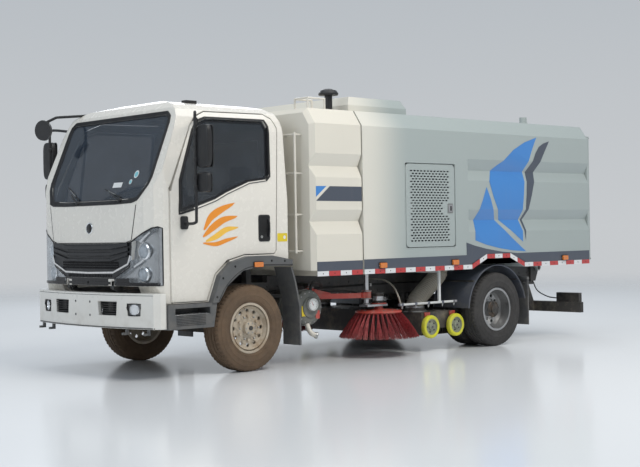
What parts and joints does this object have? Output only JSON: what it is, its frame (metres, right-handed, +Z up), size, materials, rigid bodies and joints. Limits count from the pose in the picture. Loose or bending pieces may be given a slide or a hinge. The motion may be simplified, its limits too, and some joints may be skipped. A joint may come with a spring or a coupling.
{
  "type": "street sweeper truck",
  "caption": "Cab-over street sweeper truck with tilting cab, side brushes, lowering suction head and a tipping debris hopper with a rear door.",
  "frame": {"origin": "on the ground, at the middle of the overall length and width", "axes": "+X forward, +Y to the left side of the truck, +Z up"},
  "size_m": [6.28, 2.68, 2.668],
  "materials": {
    "cab_paint": "gloss",
    "body_paint": "satin",
    "module_paint": "satin",
    "frame_paint": "satin",
    "bumper_paint": "gloss",
    "grey_plastic": "matte",
    "black_plastic": "matte",
    "glass": "clear",
    "lamp": "clear",
    "tyre": "matte",
    "rim_paint": "satin",
    "cast": "rough",
    "steel": "brushed",
    "seat_fabric": "matte",
    "red_paint": "satin",
    "yellow_rubber": "matte",
    "hose_rubber": "matte",
    "white_plastic": "matte"
  },
  "bodies": {
    "chassis": {"frame_rails": "frame_paint", "front_axle": "cast", "rear_axle": "cast", "leaf_springs": "cast", "engine_block": "cast", "bumper": "bumper_paint", "bumper_lamps": "lamp", "side_tank": "black_plastic", "battery_box": "black_plastic", "mudguards": "grey_plastic", "underride_guard": "frame_paint", "front_module": "module_paint", "module_ladder": "steel", "stack": "steel", "spray_bars": "white_plastic"},
    "cab": {"cab_shell": "cab_paint", "cab_glass": "glass", "cab_interior": "seat_fabric", "headlamps": "lamp", "grille": "grey_plastic", "cab_steps": "grey_plastic", "cab_fittings": "white_plastic"},
    "door_left": {"door_left": "cab_paint", "glass_left": "glass", "mirrors_left": "black_plastic"},
    "door_right": {"door_right": "cab_paint", "glass_right": "glass", "mirrors_right": "black_plastic"},
    "steering_wheel": {"steering_wheel": "black_plastic"},
    "knuckle_left": {"knuckle_left": "cast"},
    "knuckle_right": {"knuckle_right": "cast"},
    "wheel_front_left": {"tyre_front_left": "tyre", "rim_front_left": "rim_paint"},
    "wheel_front_right": {"tyre_front_right": "tyre", "rim_front_right": "rim_paint"},
    "wheels_rear_left": {"tyres_rear_left": "tyre", "rims_rear_left": "rim_paint"},
    "wheels_rear_right": {"tyres_rear_right": "tyre", "rims_rear_right": "rim_paint"},
    "hopper": {"hopper_shell": "body_paint", "hopper_fittings": "body_paint"},
    "rear_door": {"rear_door": "body_paint"},
    "side_door_left": {"side_door_left": "body_paint"},
    "side_door_right": {"side_door_right": "body_paint"},
    "ram_barrel": {"ram_barrel": "frame_paint"},
    "ram_rod": {"ram_rod": "steel"},
    "brush_arm_left": {"brush_arm_left": "red_paint"},
    "brush_arm_right": {"brush_arm_right": "red_paint"},
    "brush_slide_left": {"brush_slide_left": "steel"},
    "brush_slide_right": {"brush_slide_right": "steel"},
    "brush_left": {"brush_left": "red_paint"},
    "brush_right": {"brush_right": "red_paint"},
    "suction_head": {"suction_head": "frame_paint", "suction_hose": "hose_rubber"},
    "head_wheels_front": {"head_wheels_front": "yellow_rubber"},
    "head_wheels_rear": {"head_wheels_rear": "yellow_rubber"}
  },
  "joints": [
    {"name": "cab_tilt", "type": "hinge", "parent": "chassis", "child": "cab", "pos_m": [3.03, 0, 0.8], "axis": [0, 1, 0], "range_deg": [0, 45]},
    {"name": "door_left_swing", "type": "hinge", "parent": "cab", "child": "door_left", "pos_m": [2.83, 0.937, 0.9], "axis": [0, 0, -1], "range_deg": [0, 65]},
    {"name": "door_right_swing", "type": "hinge", "parent": "cab", "child": "door_right", "pos_m": [2.83, -0.937, 0.9], "axis": [0, 0, 1], "range_deg": [0, 65]},
    {"name": "steering_column", "type": "hinge", "parent": "cab", "child": "steering_wheel", "pos_m": [2.71, 0.56, 1.33], "axis": [-0.6428, 0, 0.766], "range_deg": [-525, 525]},
    {"name": "steer_left", "type": "hinge", "parent": "chassis", "child": "knuckle_left", "pos_m": [1.95, 0.64, 0.397], "axis": [0, 0, 1], "range_deg": [-35, 35]},
    {"name": "steer_right", "type": "hinge", "parent": "chassis", "child": "knuckle_right", "pos_m": [1.95, -0.64, 0.397], "axis": [0, 0, 1], "range_deg": [-35, 35]},
    {"name": "spin_front_left", "type": "hinge", "parent": "knuckle_left", "child": "wheel_front_left", "pos_m": [1.95, 0.8325, 0.397], "axis": [0, 1, 0], "continuous": true},
    {"name": "spin_front_right", "type": "hinge", "parent": "knuckle_right", "child": "wheel_front_right", "pos_m": [1.95, -0.8325, 0.397], "axis": [0, 1, 0], "continuous": true},
    {"name": "spin_rear_left", "type": "hinge", "parent": "chassis", "child": "wheels_rear_left", "pos_m": [-1.41, 0.965, 0.397], "axis": [0, 1, 0], "continuous": true},
    {"name": "spin_rear_right", "type": "hinge", "parent": "chassis", "child": "wheels_rear_right", "pos_m": [-1.41, -0.965, 0.397], "axis": [0, 1, 0], "continuous": true},
    {"name": "hopper_tip", "type": "hinge", "parent": "chassis", "child": "hopper", "pos_m": [-2.9, 0, 0.795], "axis": [0, -1, 0], "range_deg": [0, 48]},
    {"name": "rear_door_lift", "type": "hinge", "parent": "hopper", "child": "rear_door", "pos_m": [-3.12, 0, 2.348], "axis": [0, 1, 0], "range_deg": [0, 95]},
    {"name": "side_door_left_swing", "type": "hinge", "parent": "hopper", "child": "side_door_left", "pos_m": [0.018, 1.082, 1.2], "axis": [0, 0, -1], "range_deg": [0, 105]},
    {"name": "side_door_right_swing", "type": "hinge", "parent": "hopper", "child": "side_door_right", "pos_m": [0.018, -1.082, 1.2], "axis": [0, 0, 1], "range_deg": [0, 105]},
    {"name": "ram_swing", "type": "hinge", "parent": "chassis", "child": "ram_barrel", "pos_m": [-1.66, 0, 0.62], "axis": [0, 1, 0], "range_deg": [0, 21.45]},
    {"name": "ram_stroke", "type": "slide", "parent": "ram_barrel", "child": "ram_rod", "axis": [-0.9603, 0, 0.2788], "range_m": [0, 0.40113]},
    {"name": "brush_arm_left_swing", "type": "hinge", "parent": "chassis", "child": "brush_arm_left", "pos_m": [0.88, 0.56, 0.62], "axis": [0, 0, -1], "range_deg": [0, 20]},
    {"name": "brush_left_lower", "type": "slide", "parent": "brush_arm_left", "child": "brush_slide_left", "axis": [0, 0, -1], "range_m": [0, 0.18]},
    {"name": "brush_left_spin", "type": "hinge", "parent": "brush_slide_left", "child": "brush_left", "pos_m": [0.15, 0.8, 0.45], "axis": [0, 0, 1], "continuous": true},
    {"name": "brush_arm_right_swing", "type": "hinge", "parent": "chassis", "child": "brush_arm_right", "pos_m": [0.88, -0.56, 0.62], "axis": [0, 0, 1], "range_deg": [0, 20]},
    {"name": "brush_right_lower", "type": "slide", "parent": "brush_arm_right", "child": "brush_slide_right", "axis": [0, 0, -1], "range_m": [0, 0.18]},
    {"name": "brush_right_spin", "type": "hinge", "parent": "brush_slide_right", "child": "brush_right", "pos_m": [0.15, -0.8, 0.45], "axis": [0, 0, 1], "continuous": true},
    {"name": "head_lower", "type": "slide", "parent": "chassis", "child": "suction_head", "axis": [0, 0, -1], "range_m": [0, 0.138], "deforming": ["suction_hose"]},
    {"name": "head_wheels_front_spin", "type": "hinge", "parent": "suction_head", "child": "head_wheels_front", "pos_m": [-0.46, 0.95, 0.26], "axis": [0, 1, 0], "continuous": true},
    {"name": "head_wheels_rear_spin", "type": "hinge", "parent": "suction_head", "child": "head_wheels_rear", "pos_m": [-0.85, 0.95, 0.26], "axis": [0, 1, 0], "continuous": true}
  ],
  "couplings": [
    {"joint": "steer_right", "follows": "steer_left", "ratio": 1},
    {"joint": "steering_column", "follows": "steer_left", "ratio": 15},
    {"joint": "ram_swing", "follows": "hopper_tip", "ratio": 0.44677},
    {"joint": "ram_stroke", "follows": "hopper_tip", "m_per_rad": 0.4787}
  ]
}
